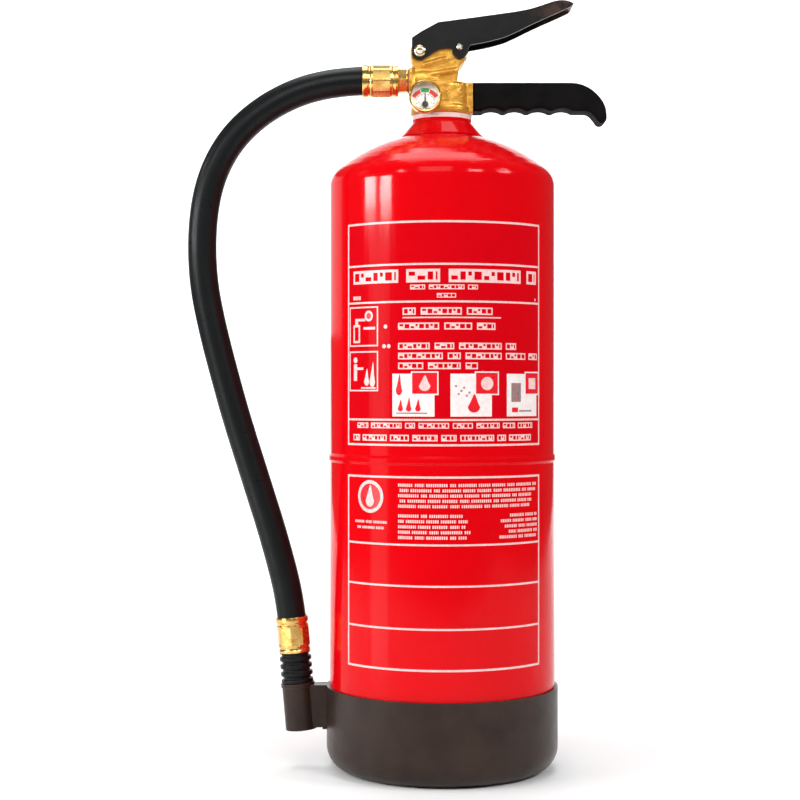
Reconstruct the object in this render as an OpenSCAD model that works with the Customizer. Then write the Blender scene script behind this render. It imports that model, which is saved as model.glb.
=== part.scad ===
// Stored-pressure dry powder fire extinguisher: steel cylinder, brass squeeze-grip valve,
// rubber hose and nozzle, pressure gauge, plastic boot with nozzle holder.
// Millimetres, +Z up. The origin is the centre of the boot's foot, on the floor.
// The gauge faces -Y and the carrying grip points to +X.

/* [Cylinder] */
// Outside diameter of the steel cylinder
cyl_d = 150; // [120:1:180]
// Thickness of the steel wall
cyl_wall = 1.6; // [1.2:0.1:3]
// Height of the top of the straight wall
shoulder_z = 387; // [330:1:440]
// Crown radius of the shoulder and of the bottom
crown_r = 110; // [100:1:140]
// Knuckle radius between the wall and the shoulder
knuckle_r = 14; // [10:1:24]
// Height of the weld between the two halves
girth_z = 207; // [150:1:260]
// Width of the weld bead
weld_w = 6; // [4:0.5:9]
// How far the weld bead stands out
weld_h = 0.9; // [0.5:0.1:1.5]
// Height of the lowest point of the steel bottom
bottom_z = 5; // [4:0.5:12]
// Level of the powder in the cylinder
powder_z = 348; // [200:1:360]

/* [Neck] */
// Radius of the neck ring where it meets the shoulder
neck_base_r = 27.5; // [24:0.5:34]
// Radius of the neck ring at its top
neck_top_r = 19.7; // [18:0.1:24]
// Height of the neck ring above the shoulder
neck_h = 12; // [9:0.5:18]
// Radius of the neck's threaded bore
neck_bore_r = 15; // [13:0.1:16.5]
// Thickness of the seal between neck and valve
seal_h = 3; // [2:0.1:5]

/* [Boot and nozzle holder] */
// Wall of the boot
boot_wall = 2; // [1.5:0.1:4]
// Height of the boot
boot_h = 55.5; // [40:0.5:70]
// Radius of the boot's rounded bottom edge
boot_fillet = 16; // [8:1:20]
// Thickness of the boot's floor
boot_floor = 3; // [2:0.5:3.5]
// Distance from the boot's wall to the axis of the holder's cup
cup_reach = 19.4; // [17:0.1:26]
// Inner radius of the holder's cup
cup_r = 8.7; // [7:0.1:9.5]
// Wall of the cup
cup_wall = 1.9; // [1.5:0.1:3]
// Depth of the cup
cup_depth = 29; // [22:1:34]
// Height of the cup's rim
cup_rim_z = 56.6; // [45:0.1:60]
// Lean of the cup and nozzle away from the cylinder, in degrees
cup_tilt = 5; // [0:0.5:8]

/* [Valve] */
// Radius of the valve's round hub
hub_r = 19.8; // [18.5:0.1:24]
// Height of the hub
hub_h = 21; // [19:0.5:25]
// Half thickness of the yoke that carries the lever
yoke_y = 9.7; // [9:0.1:12]
// Radius of the valve's chambers
chamber_r = 7.5; // [6.5:0.1:8]
// Radius of the stem
stem_r = 3.5; // [3:0.1:4]
// Radius of the pivot rivet's shank
rivet_r = 3; // [2.5:0.1:3.5]
// Radius of the safety pin
pin_r = 2; // [1.5:0.1:2.4]
// Radius of the pin's finger ring, to the middle of its wire
ring_r = 11.5; // [10:0.5:15]

/* [Lever and grip] */
// Thickness of the lever's sheet steel
lever_t = 2; // [1.5:0.1:3]
// Squeeze travel of the lever, in degrees
squeeze = 11; // [8:1:12]
// Half width of the carrying grip
grip_y = 11; // [9:0.5:14]
// Length of the steel tang
tang_l = 68; // [50:1:72]
// Width of the tang
tang_w = 6; // [5:0.5:8]
// Height of the tang
tang_h = 9; // [7:0.5:10]

/* [Hose and nozzle] */
// Outside diameter of the hose
hose_d = 19.6; // [17:0.2:20]
// Bore of the hose
hose_bore = 12.8; // [10:0.1:13.5]
// Wall of the brass crimp ferrules
ferrule_wall = 0.9; // [0.8:0.1:2]
// Length of the crimp ferrules
ferrule_l = 24; // [20:1:30]
// Radius of the ribbed grip of the nozzle
nozzle_r = 10.6; // [9:0.1:11]
// Length of the ribbed grip
nozzle_l = 20; // [18:1:28]
// Number of ribs
nozzle_ribs = 4; // [3:1:5]
// Radius of the nozzle's outlet
nozzle_bore_r = 4.5; // [3:0.1:5]

/* [Gauge] */
// Radius of the gauge's case
gauge_r = 10.7; // [9.5:0.1:13]
// Wall of the case
gauge_wall = 1; // [0.8:0.1:1.5]
// Distance of the needle's pivot below the centre of the dial
needle_drop = 4.8; // [3:0.1:5.5]
// Length of the needle
needle_l = 8.2; // [6:0.1:10]

/* [Hidden] */
$fn = 96;

slip = 0.05;        // running clearance of a pin in its hole, on the radius
seat_gap = 0.15;    // clearance between pieces of one body that fit together
side_gap = 0.3;     // clearance between pieces that move past each other
cut = 1;            // how far a cutting shape runs past the face that it cuts

cyl_r = cyl_d / 2;
boot_r = cyl_r + boot_wall;

// Shoulder: the crown's centre follows from the wall, the knuckle and the crown radius.
crown_drop = sqrt(pow(crown_r - knuckle_r, 2) - pow(cyl_r - knuckle_r, 2));
shoulder_cz = shoulder_z - crown_drop;
neck_seat_z = shoulder_cz + sqrt(pow(crown_r, 2) - pow(neck_base_r, 2));
neck_top_z = neck_seat_z + neck_h;
valve_z = neck_top_z + seal_h;

// Bottom: the same crown, with a larger knuckle.
bottom_knuckle_r = 2 * knuckle_r;
bottom_drop = sqrt(pow(crown_r - bottom_knuckle_r, 2) - pow(cyl_r - bottom_knuckle_r, 2));
bottom_wall_z = bottom_z + crown_r - bottom_drop;

// Valve, measured from the underside of its hub
shank_r = neck_bore_r - seat_gap;
shank_l = 22.5;
pivot = [-15, 41.6];             // lever pivot, in x and z
pin_at = [11.3, 44.1];           // safety pin, in x and z
pivot_lobe_r = 6.3;
pin_lobe_r = 6;
pin_arm = norm(pin_at - pivot);
pin_angle = atan2(pin_at[1] - pivot[1], pin_at[0] - pivot[0]);
guide_z = 31;                    // lower end of the stem's guide bore
yoke_top = 47.4;
seat_z = 12.5;                   // underside of the valve seat
seat_h = 4;
seat_r = 5;
plug_top = -4;
plug_l = 16;
plug_r = chamber_r + 1.5;
plug_hole_r = 4.5;
socket_l = 10;                   // depth of the dip tube's socket in the plug
dip_r = 7;
dip_wall = 1.5;
dip_end_z = 22;                  // height of the dip tube's open end above the floor
outlet_z = 23.5;
outlet_boss_r = 9;
outlet_x = -22;                  // end face of the outlet boss
outlet_thread_r = 6;
outlet_bore_r = 4.6;
oring_z = 35;
oring_r = 1.2;

// Lever: outer width follows the yoke. Outline points are in x and z.
lever_in = yoke_y + side_gap;
lever_out = lever_in + lever_t;
rivet_head_r = 4.3;
rivet_head_h = 1.7;
stem_top = 58.3;
stem_travel = 1.15 * -pivot[0] * squeeze * PI / 180;

// Gauge: its axis runs along -Y at this x and z, and depths are distances from the valve's axis.
gauge_at = [-11.6, 9.2];
gauge_back = 19.3;
gauge_depth = 7.9;
gauge_thread_r = 4.9;
gauge_boss_r = 9;
dial_at = gauge_back + 2.7;
dial_t = 0.5;
lens_t = 1.15;
bezel_h = 1;
bezel_lip = 0.7;

// Grip and tang, in x and z from the hub
grip_x = 20.4;
grip_top = 21.1;
grip_low = 2.2;
grip_foot = 0.8;                 // lower edge of the hub's square face
tang_z = 11;                     // middle of the tang
tang_x = 9.6;                    // inner end of the tang's pocket in the hub
dowel_x = 15;
dowel_r = 1.5;

// Hose: ferrules, and the shape of its route in x and z from one ferrule to the other.
hose_r = hose_d / 2;
ferrule_r = hose_r + seat_gap + ferrule_wall;
ferrule_wall_end = 2;            // closed end of a ferrule
adaptor_nut_r = 7.7;
adaptor_nut_l = 7;
ferrule_x = outlet_x - adaptor_nut_l;
hose_sides = 12;
route_shape = [[-31, 458], [-42, 458], [-54, 458], [-67, 457], [-80, 455], [-93, 451.5], [-106, 446],
    [-118, 439], [-129, 430.5], [-139, 420], [-147, 408], [-153, 395], [-157, 381], [-159.5, 366],
    [-160.5, 350], [-160, 334], [-158, 317], [-154.5, 299], [-150, 280], [-145, 261], [-139.5, 241],
    [-133.5, 221], [-127.5, 202], [-121.5, 183], [-115.5, 164], [-110, 145], [-105.5, 128],
    [-102.5, 114], [-100.4, 100], [-99.4, 89], [-98.5, 78.6]];

function arc(c, r, a0, a1, n = 12) =
    [for (i = [0:n]) c + r * [cos(a0 + (a1 - a0) * i / n), sin(a0 + (a1 - a0) * i / n)]];
function curve(a, b, c, d, n = 10) =
    [for (i = [0:n]) let (t = i / n, u = 1 - t)
        u * u * u * a + 3 * u * u * t * b + 3 * u * t * t * c + t * t * t * d];

// Half outline of a dished end from the axis to the wall, pushed inwards by "inset".
function dished(r, knuckle, crown, inset = 0) =
    let (drop = sqrt(pow(crown - knuckle, 2) - pow(r - knuckle, 2)),
         lean = atan2(drop, r - knuckle))
    concat(arc([0, 0], crown - inset, 90, lean),
           arc([r - knuckle, drop], knuckle - inset, lean, 0, 8));

function flipped(points) = [for (p = points) [p[0], -p[1]]];
function raised(points, z) = [for (p = points) [p[0], p[1] + z]];
function backwards(points) = [for (i = [len(points) - 1:-1:0]) points[i]];

shoulder_outer = raised(dished(cyl_r, knuckle_r, crown_r), shoulder_cz);
shoulder_inner = raised(dished(cyl_r, knuckle_r, crown_r, cyl_wall), shoulder_cz);
bottom_cz = bottom_z + crown_r;
bottom_outer = raised(flipped(dished(cyl_r, bottom_knuckle_r, crown_r)), bottom_cz);
bottom_inner = raised(flipped(dished(cyl_r, bottom_knuckle_r, crown_r, cyl_wall)), bottom_cz);

module valve_frame() { translate([0, 0, valve_z]) children(); }

// Extrudes an outline in x and z along Y, centred.
module along_y(width) {
    rotate([90, 0, 0]) linear_extrude(height = width, center = true) children();
}
module y_rod(at, r, length) {
    translate([at[0], 0, at[1]]) rotate([90, 0, 0]) cylinder(r = r, h = length, center = true);
}
module x_rod(from_x, to_x, z, r) {
    translate([from_x, 0, z]) rotate([0, 90, 0]) cylinder(r = r, h = to_x - from_x);
}
module tube(r, bore, h) {
    difference() {
        cylinder(r = r, h = h);
        translate([0, 0, -cut]) cylinder(r = bore, h = h + 2 * cut);
    }
}
module o_ring(r, wire) { rotate_extrude() translate([r, 0]) circle(r = wire, $fn = 24); }

// ---- cylinder ----

module lower_shell() color("red") rotate_extrude()
    polygon(concat(bottom_outer, [[cyl_r, girth_z], [cyl_r - cyl_wall, girth_z]],
                   backwards(bottom_inner)));

module upper_shell() color("red") difference() {
    rotate_extrude()
        polygon(concat(shoulder_outer, [[cyl_r, girth_z], [cyl_r - cyl_wall, girth_z]],
                       backwards(shoulder_inner)));
    translate([0, 0, neck_seat_z - neck_h]) cylinder(r = neck_weld_r, h = 3 * neck_h);
}

module girth_weld() color("red") rotate_extrude()
    polygon([[cyl_r, girth_z - weld_w / 2], [cyl_r + weld_h, girth_z - weld_w / 5],
             [cyl_r + weld_h, girth_z + weld_w / 5], [cyl_r, girth_z + weld_w / 2]]);

// The ring sits in the shoulder's hole, with a cone that covers the weld.
neck_weld_r = neck_base_r - 3;
neck_under = 10;                 // how far the ring reaches into the cylinder
neck_lip = 2;                    // upright edge at the top of the cone
module neck_ring() color("red") difference() {
    rotate_extrude() polygon([[0, neck_seat_z - neck_under], [neck_weld_r, neck_seat_z - neck_under],
        [neck_weld_r, neck_seat_z - 1], [neck_base_r, neck_seat_z - 1],
        [neck_base_r, neck_seat_z + 1], [neck_top_r, neck_top_z - neck_lip],
        [neck_top_r, neck_top_z], [0, neck_top_z]]);
    difference() {
        translate([0, 0, shoulder_cz]) sphere(r = crown_r + seat_gap);
        translate([0, 0, shoulder_cz]) cylinder(r = neck_weld_r, h = 2 * crown_r);
    }
    translate([0, 0, neck_seat_z - neck_under - cut])
        cylinder(r = neck_bore_r, h = neck_under + neck_h + 2 * cut);
}

module powder_charge() color("lightyellow") difference() {
    rotate_extrude()
        polygon(concat(
            raised(flipped(dished(cyl_r, bottom_knuckle_r, crown_r, cyl_wall + seat_gap)), bottom_cz),
            [[cyl_r - cyl_wall - seat_gap, powder_z], [0, powder_z]]));
    translate([0, 0, dip_end_z - side_gap])
        cylinder(r = dip_r + side_gap, h = powder_z);
}

// ---- boot and nozzle holder ----

rail_depth = 2.6;                // dovetail rail that carries the holder
rail_w = 8;
rail_flare = 1.4;
rail_low = 26;
drain_r = 3;
drain_at = 38;
module rail_outline(gap = 0) {
    polygon([[-boot_r + 1, -rail_w / 2 - gap], [-boot_r + 1, rail_w / 2 + gap],
             [-boot_r - rail_depth - gap, rail_w / 2 + rail_flare + gap],
             [-boot_r - rail_depth - gap, -rail_w / 2 - rail_flare - gap]]);
}

rib_count = 8;
rib_t = 2;
rib_inner = 20;
rib_ring = 46;                   // radius of the ring that carries the cylinder
module boot_ribs() {
    difference() {
        cylinder(r = rib_ring + rib_t / 2, h = boot_h);
        cylinder(r = rib_ring - rib_t / 2, h = boot_h);
    }
    for (i = [0:rib_count - 1]) rotate([0, 0, (i + 0.5) * 360 / rib_count])
        translate([rib_inner, -rib_t / 2, 0]) cube([boot_r - rib_inner, rib_t, boot_h]);
}
module base_boot() color("#3b3432") difference() {
    union() {
        rotate_extrude() polygon(concat(
            [[0, 0]], arc([boot_r - boot_fillet, boot_fillet], boot_fillet, -90, 0),
            [[boot_r, boot_h], [0, boot_h]]));
        translate([0, 0, rail_low]) linear_extrude(height = boot_h - rail_low)
            rail_outline();
    }
    difference() {
        rotate_extrude() polygon(concat([[0, boot_floor]],
            arc([cyl_r + seat_gap - boot_fillet, boot_fillet + boot_floor],
                boot_fillet, -90, 0),
            [[cyl_r + seat_gap, boot_h + cut], [0, boot_h + cut]]));
        boot_ribs();
    }
    rotate_extrude() polygon(concat(
        raised(flipped(dished(cyl_r, bottom_knuckle_r, crown_r, -seat_gap)), bottom_cz),
        [[cyl_r + seat_gap, boot_h + cut], [0, boot_h + cut]]));
    for (a = [60:120:300]) rotate([0, 0, a]) translate([drain_at, 0, -cut])
        cylinder(r = drain_r, h = boot_floor + 2 * cut);
}

// The cup's frame: origin at the centre of its rim, +Z along the leaning nozzle.
cup_at = [-boot_r - cup_reach, 0, cup_rim_z];
module cup_frame() { translate(cup_at) rotate([0, -cup_tilt, 0]) children(); }
cup_out = cup_r + cup_wall;
cup_floor = 2;
rim_h = 2.6;
rim_out = 0.6;
holder_y = 7;
module nozzle_holder() color("#3b3432") difference() {
    union() {
        cup_frame() translate([0, 0, -cup_depth - cup_floor])
            cylinder(r = cup_out, h = cup_depth + cup_floor);
        cup_frame() translate([0, 0, -rim_h]) cylinder(r = cup_out + rim_out, h = rim_h);
        translate([-boot_r - cup_reach, -holder_y, cup_rim_z - cup_depth])
            cube([cup_reach + 3, 2 * holder_y, cup_depth - 1]);
    }
    cup_frame() translate([0, 0, -cup_depth]) cylinder(r = cup_r, h = cup_depth + 10);
    cup_frame() translate([0, 0, -cup_depth - cup_floor - cut]) cylinder(r = drain_r, h = 10);
    translate([0, 0, -cut]) cylinder(r = boot_r + slip, h = cup_rim_z + 10);
    translate([0, 0, rail_low - seat_gap]) linear_extrude(height = cup_rim_z)
        rail_outline(seat_gap);
}

// ---- valve ----

module neck_seal() color("mistyrose") translate([0, 0, neck_top_z])
    tube(neck_top_r, neck_bore_r, seal_h);

yoke_outline = [[-13, 8], [13, 8], [13, 18], [9.6, 22], [9.3, 27], [11, 31.5], [14.6, 35.5],
    [pin_at[0] + pin_lobe_r, pin_at[1]], [pin_at[0], pin_at[1] + pin_lobe_r],
    [4, yoke_top], [-9, yoke_top], [pivot[0], pivot[1] + pivot_lobe_r],
    [pivot[0] - pivot_lobe_r, pivot[1]], [-20.2, 34], [-18, 31], [-18, 16]];

module pin_slot() {
    translate([pivot[0], 0, pivot[1]]) rotate([90, 0, 0])
        rotate([0, 0, pin_angle - squeeze]) rotate_extrude(angle = squeeze)
            translate([pin_arm, 0]) square([2 * pin_slot_r, 4 * yoke_y], center = true);
    for (a = [pin_angle, pin_angle - squeeze])
        y_rod(pivot + pin_arm * [cos(a), sin(a)], pin_slot_r, 4 * yoke_y);
}
pin_slot_r = pin_r + side_gap;

module valve_body() color("goldenrod") valve_frame() difference() {
    union() {
        cylinder(r = hub_r, h = hub_h - 2);
        translate([0, 0, hub_h - 2]) cylinder(r1 = hub_r, r2 = hub_r - 2, h = 2);
        translate([0, 0, -shank_l]) cylinder(r = shank_r, h = shank_l);
        along_y(2 * yoke_y) polygon(yoke_outline);
        y_rod(pivot, pivot_lobe_r, 2 * yoke_y);
        y_rod(pin_at, pin_lobe_r, 2 * yoke_y);
        x_rod(outlet_x, 0, outlet_z, outlet_boss_r);
        translate([gauge_at[0], 0, gauge_at[1]]) rotate([90, 0, 0])
            cylinder(r = gauge_boss_r, h = gauge_back);
        translate([5, -grip_y, grip_foot])
            cube([grip_x - seat_gap - 5, 2 * grip_y, hub_h - grip_foot]);
    }
    // stem guide, O-ring groove, outlet chamber, seat, spring chamber and plug thread
    translate([0, 0, guide_z - cut]) cylinder(r = stem_r + slip, h = yoke_top);
    translate([0, 0, oring_z - oring_r]) cylinder(r = stem_r + 2 * oring_r, h = 2 * oring_r);
    translate([0, 0, seat_z + seat_h]) cylinder(r = chamber_r, h = guide_z - seat_z - seat_h);
    translate([0, 0, seat_z - cut]) cylinder(r = seat_r, h = seat_h + 2 * cut);
    translate([0, 0, plug_top - cut]) cylinder(r = chamber_r, h = seat_z - plug_top + cut);
    translate([0, 0, -shank_l - cut]) cylinder(r = plug_r + slip, h = shank_l + plug_top + cut);
    // outlet, gauge port with its slanting passage, pivot, pin slot, tang pocket and dowel
    x_rod(outlet_x - cut, 0, outlet_z, outlet_thread_r);
    translate([gauge_at[0], 0, gauge_at[1]]) rotate([90, 0, 0]) translate([0, 0, gauge_back - 9])
        cylinder(r = gauge_thread_r, h = 20);
    translate([gauge_at[0], -gauge_back + 9, gauge_at[1]]) rotate([-90, 0, -52])
        translate([0, 0, -2]) cylinder(r = 1.2, h = 12);
    y_rod(pivot, rivet_r, 4 * yoke_y);
    pin_slot();
    translate([tang_x, -tang_w / 2 - seat_gap, tang_z - tang_h / 2 - seat_gap])
        cube([20, tang_w + 2 * seat_gap, tang_h + 2 * seat_gap]);
    translate([dowel_x, 0, -cut]) cylinder(r = dowel_r, h = grip_top - 1);
}

module spring_plug() color("darkgoldenrod") valve_frame() difference() {
    translate([0, 0, plug_top - plug_l]) cylinder(r = plug_r, h = plug_l);
    translate([0, 0, plug_top - plug_l - cut]) cylinder(r = plug_hole_r, h = plug_l + 2 * cut);
    translate([0, 0, plug_top - plug_l - cut]) cylinder(r = dip_r + slip, h = socket_l + cut);
}

dip_top_z = valve_z + plug_top - plug_l + socket_l;
module dip_tube() color("ivory") translate([0, 0, dip_end_z])
    tube(dip_r, dip_r - dip_wall, dip_top_z - dip_end_z);

// Stem: push rod, a neck through the seat, and the flange that carries the seal.
flange_z = seat_z - 2 - seat_gap;
flange_r = chamber_r - 1;
module valve_stem() color("silver") valve_frame() {
    translate([0, 0, guide_z - 6]) cylinder(r = stem_r, h = stem_top - stem_r - guide_z + 6);
    translate([0, 0, stem_top - stem_r]) sphere(r = stem_r);
    translate([0, 0, flange_z - 2]) cylinder(r = stem_r - 1, h = guide_z - flange_z - 2);
    translate([0, 0, flange_z - 2]) cylinder(r = flange_r, h = 2);
}
module stem_seal() color("#222222") valve_frame() translate([0, 0, flange_z])
    tube(flange_r, stem_r - 1, 2);
module stem_oring() color("#222222") valve_frame() translate([0, 0, oring_z])
    o_ring(stem_r + oring_r, oring_r - slip);

// Return spring: a helix of round wire between the plug and the stem's flange.
spring_r = 5.6;
wire_r = 0.55;
spring_turns = 4;
spring_low = plug_top + wire_r + seat_gap;
spring_high = flange_z - 2 - wire_r - seat_gap;
function sweep_faces(rings, sides) = concat(
    [for (i = [0:rings - 2], j = [0:sides - 1]) let (k = (j + 1) % sides)
        [i * sides + j, i * sides + k, (i + 1) * sides + k, (i + 1) * sides + j]],
    [[for (j = [sides - 1:-1:0]) j], [for (j = [0:sides - 1]) (rings - 1) * sides + j]]);
module valve_spring() color("silver") valve_frame() {
    steps = 16;
    sides = 8;
    points = [for (i = [0:spring_turns * steps], j = [0:sides - 1])
        let (a = 360 * i / steps, b = 360 * j / sides, r = spring_r + wire_r * cos(b))
        [r * cos(a), r * sin(a),
         spring_low + (spring_high - spring_low) * i / (spring_turns * steps) + wire_r * sin(b)]];
    polyhedron(points, [for (f = sweep_faces(spring_turns * steps + 1, sides)) backwards(f)]);
}

// ---- lever, rivet and safety pin ----

lever_outline = concat(
    [[-20.2, 50.4], [-14.3, 54.4], [-2.7, 60.7], [19.7, 63.6]],
    curve([33.3, 65.5], [45, 67.2], [56, 68.2], [65, 71.6], 6),
    curve([70, 73.3], [76, 75.6], [82, 76.4], [87, 73], 6),
    curve([85, 71], [75, 66], [62, 61], [50, 54.6], 6),
    curve([42, 51], [34, 48.4], [26, 46.8], [18.4, 45.6], 5),
    arc(pin_at + [0.4, -2], 5.3, 10, -190, 12),
    [[3.6, 43.4], [-0.5, 43.4], [-4.5, 41.6]],
    arc(pivot, 5.9, -45, -150, 8), [[-20.2, 39]]);
web_t = lever_t;
web_line = [[-19, 38], [-18.2, 49.3], [-13.3, 52.6], [-2.2, 58.5], [19.9, 61.4], [33.6, 63.3],
    [56, 66.4], [65.6, 69.4], [76, 73], [81, 73.6], [120, 60], [120, 20], [-18, 20]];
module squeeze_lever() color("#1c1c1e") valve_frame() difference() {
    along_y(2 * lever_out) polygon(lever_outline);
    along_y(2 * lever_in) polygon(web_line);
    translate([web_line[0][0] - 10, -lever_in, 0])
        cube([12, 2 * lever_in, web_line[1][1]]);
    y_rod(pivot, rivet_r + slip, 4 * lever_out);
    y_rod(pin_at, pin_r + slip, 4 * lever_out);
}

module pivot_rivet() color("#e6d6a0") valve_frame() {
    y_rod(pivot, rivet_r, 2 * (lever_out + seat_gap));
    for (side = [-1, 1]) translate([pivot[0], side * (lever_out + seat_gap), pivot[1]])
        rotate([-side * 90, 0, 0]) {
            cylinder(r = rivet_head_r, h = rivet_head_h - 0.7);
            translate([0, 0, rivet_head_h - 0.7])
                cylinder(r1 = rivet_head_r, r2 = rivet_head_r - 1.2, h = 0.7);
        }
}

pin_tip_y = -(lever_out + 1.3);
collar_y = lever_out + side_gap;
collar_h = 2;
ring_wire = 1.4;
ring_lean = 20;                  // turn of the ring about the pin, in degrees
ring_y = collar_y + collar_h + 3 + ring_r;
module safety_pin() color("silver") valve_frame() translate([pin_at[0], 0, pin_at[1]]) {
    translate([0, pin_tip_y, 0]) rotate([-90, 0, 0])
        cylinder(r = pin_r, h = ring_y - ring_r - pin_tip_y);
    translate([0, pin_tip_y - 0.8, 0]) rotate([-90, 0, 0])
        cylinder(r1 = pin_r - 0.8, r2 = pin_r, h = 0.8);
    translate([0, collar_y, 0]) rotate([-90, 0, 0]) cylinder(r = pin_r + 1.4, h = collar_h);
    translate([0, ring_y, 0]) rotate([0, 90 + ring_lean, 0]) o_ring(ring_r, ring_wire);
}

// ---- carrying handle ----

module handle_tang() color("silver") valve_frame() difference() {
    translate([tang_x + seat_gap, -tang_w / 2, tang_z - tang_h / 2]) cube([tang_l, tang_w, tang_h]);
    translate([dowel_x, 0, 0]) cylinder(r = dowel_r, h = 2 * grip_top);
}
module tang_dowel() color("silver") valve_frame() translate([dowel_x, 0, seat_gap])
    cylinder(r = dowel_r, h = grip_top - 2 - seat_gap);

groove_pitch = 15.7;
groove_first = 33;
groove_r = 13;
groove_depth = 1.8;
grip_outline = concat(
    [[grip_x, grip_low - 0.2], [grip_x, grip_top]],
    curve([86, grip_top], [98, grip_top], [109.5, 9.5], [109, 0], 10),
    arc([105.7, -2.4], 3.4, 0, -140, 8),
    curve([102, -2.8], [100.2, -0.8], [98.5, grip_low], [95, grip_low], 6));
module carry_grip() color("#1c1c1e") valve_frame() difference() {
    along_y(2 * grip_y) difference() {
        polygon(grip_outline);
        for (i = [0:3]) translate([groove_first + i * groove_pitch, grip_low - groove_r + groove_depth])
            circle(r = groove_r);
    }
    translate([0, -tang_w / 2 - seat_gap, tang_z - tang_h / 2 - seat_gap])
        cube([tang_x + tang_l + 2 * seat_gap, tang_w + 2 * seat_gap, tang_h + 2 * seat_gap]);
}

// ---- outlet, ferrules and hose ----

washer_t = 1;
tail_r = hose_bore / 2 * cos(180 / hose_sides) - seat_gap;
tail_l = ferrule_l - ferrule_wall_end - 1;
module outlet_washer() color("chocolate") valve_frame() difference() {
    x_rod(outlet_x - washer_t, outlet_x, outlet_z, outlet_thread_r + 2);
    x_rod(outlet_x - 3, outlet_x + 3, outlet_z, outlet_thread_r);
}
module outlet_adaptor() color("gold") valve_frame() difference() {
    union() {
        x_rod(outlet_x - washer_t, outlet_x + 9, outlet_z, outlet_thread_r - slip);
        x_rod(ferrule_x, outlet_x - washer_t, outlet_z, adaptor_nut_r);
        x_rod(ferrule_x - tail_l, ferrule_x, outlet_z, tail_r);
    }
    x_rod(ferrule_x - tail_l - cut, outlet_x + 10, outlet_z, outlet_bore_r);
}
// A ferrule along +Z with its closed end at the origin.
module ferrule() difference() {
    cylinder(r = ferrule_r, h = ferrule_l);
    translate([0, 0, ferrule_wall_end]) cylinder(r = hose_r + seat_gap, h = ferrule_l);
    translate([0, 0, -cut]) cylinder(r = tail_r + slip, h = ferrule_l);
}
module outlet_ferrule() color("gold") valve_frame() translate([ferrule_x, 0, outlet_z])
    rotate([0, -90, 0]) ferrule();

// The route keeps its shape while its two ends follow the valve and the nozzle holder.
hose_start = [ferrule_x - ferrule_wall_end, valve_z + outlet_z];
nozzle_axis = [-sin(cup_tilt), cos(cup_tilt)];
hose_end = [cup_at[0], cup_at[2]] + (nozzle_l + ferrule_wall_end + side_gap) * nozzle_axis;
straight_points = 3;             // points that lie inside a ferrule at each end
function follow(i) = let (last = len(route_shape) - 1,
    t = min(1, max(0, (i - straight_points) / (last - 2 * straight_points)))) t * t * (3 - 2 * t);
route = [for (i = [0:len(route_shape) - 1]) route_shape[i]
    + (1 - follow(i)) * (hose_start - route_shape[0])
    + follow(i) * (hose_end - route_shape[len(route_shape) - 1])];

function path_dir(i) = let (a = route[max(i - 1, 0)], b = route[min(i + 1, len(route) - 1)])
    (b - a) / norm(b - a);
function ring_at(i, r) = let (d = path_dir(i), n = [-d[1], d[0]])
    [for (j = [0:hose_sides - 1]) let (a = 360 * (j + 0.5) / hose_sides)
        [route[i][0] + n[0] * r * cos(a), r * sin(a), route[i][1] + n[1] * r * cos(a)]];
module hose() color("#141414") {
    n = len(route);
    s = hose_sides;
    outside = [for (i = [0:n - 1]) each ring_at(i, hose_r)];
    inside = [for (i = [0:n - 1]) each ring_at(i, hose_bore / 2)];
    walls = [for (i = [0:n - 2], j = [0:s - 1]) let (k = (j + 1) % s)
        [i * s + j, i * s + k, (i + 1) * s + k, (i + 1) * s + j]];
    bore = [for (f = walls) [for (q = backwards(f)) q + n * s]];
    ends = [for (j = [0:s - 1]) let (k = (j + 1) % s, e = (n - 1) * s)
        each [[k, j, j + n * s, k + n * s],
              [e + j, e + k, e + k + n * s, e + j + n * s]]];
    polyhedron(concat(outside, inside), [for (f = concat(walls, bore, ends)) backwards(f)]);
}

// ---- nozzle ----

rib_pitch = nozzle_l / nozzle_ribs;
rib_h = 1.5;
spigot_r = cup_r - side_gap;
spigot_l = cup_depth - 2;
nipple_thread_r = 5.6;
nipple_thread_l = 11;
nipple_bore_r = 4.2;
module nozzle_body() color("#1c1c1e") cup_frame() difference() {
    union() {
        rotate_extrude() polygon(concat([[0, side_gap], [nozzle_r, side_gap]],
            [for (i = [0:nozzle_ribs - 1]) let (z = i * rib_pitch)
                each [[nozzle_r, z + rib_pitch * 0.5], [nozzle_r - rib_h, z + rib_pitch * 0.6],
                      [nozzle_r - rib_h, z + rib_pitch * 0.9], [nozzle_r, z + rib_pitch]]],
            [[0, nozzle_l]]));
        translate([0, 0, -spigot_l]) cylinder(r1 = spigot_r - 1.2, r2 = spigot_r, h = spigot_l + 1);
    }
    translate([0, 0, -spigot_l - cut]) cylinder(r = nozzle_bore_r, h = spigot_l + nozzle_l);
    translate([0, 0, nozzle_l - nipple_thread_l]) cylinder(r = nipple_thread_r, h = nozzle_l);
}
module nozzle_nipple() color("gold") cup_frame() difference() {
    union() {
        translate([0, 0, nozzle_l - nipple_thread_l + seat_gap])
            cylinder(r = nipple_thread_r - slip, h = nipple_thread_l);
        translate([0, 0, nozzle_l]) cylinder(r = tail_r, h = tail_l + ferrule_wall_end);
    }
    translate([0, 0, nozzle_l - nipple_thread_l - cut]) cylinder(r = nipple_bore_r, h = 60);
}
module nozzle_ferrule() color("gold") cup_frame() translate([0, 0, nozzle_l]) ferrule();

// ---- gauge ----

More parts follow.
